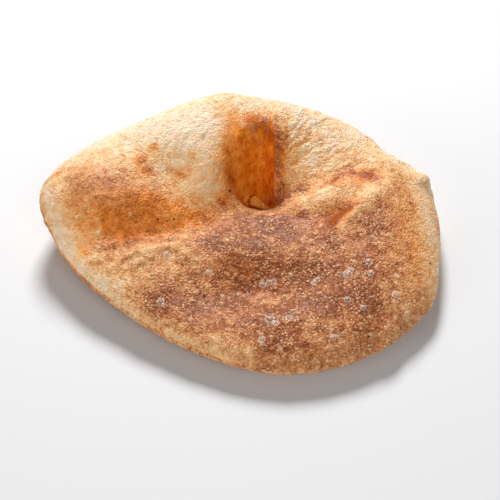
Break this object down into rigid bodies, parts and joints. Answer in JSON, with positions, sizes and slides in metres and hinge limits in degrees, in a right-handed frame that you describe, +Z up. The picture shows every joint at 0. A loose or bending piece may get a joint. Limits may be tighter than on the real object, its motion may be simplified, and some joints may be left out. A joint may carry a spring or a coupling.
{
  "type": "fried dough round",
  "caption": "Round of fried dough, puffed unevenly into a ring that stands high at the back round a small torn hole, with a lobe at one end and folds on top.",
  "frame": {"origin": "middle of the round's bounding box, at the base it rests on", "axes": "+X along the longest way across with the lobe at -X, +Y to the high side, +Z up"},
  "size_m": [0.1718, 0.1496, 0.0464],
  "materials": {
    "crust": "golden-brown fried crust with fine blisters, thinly oiled, pale where it floated above the oil"
  },
  "bodies": {
    "root": {"dough_round": "crust"}
  },
  "joints": []
}
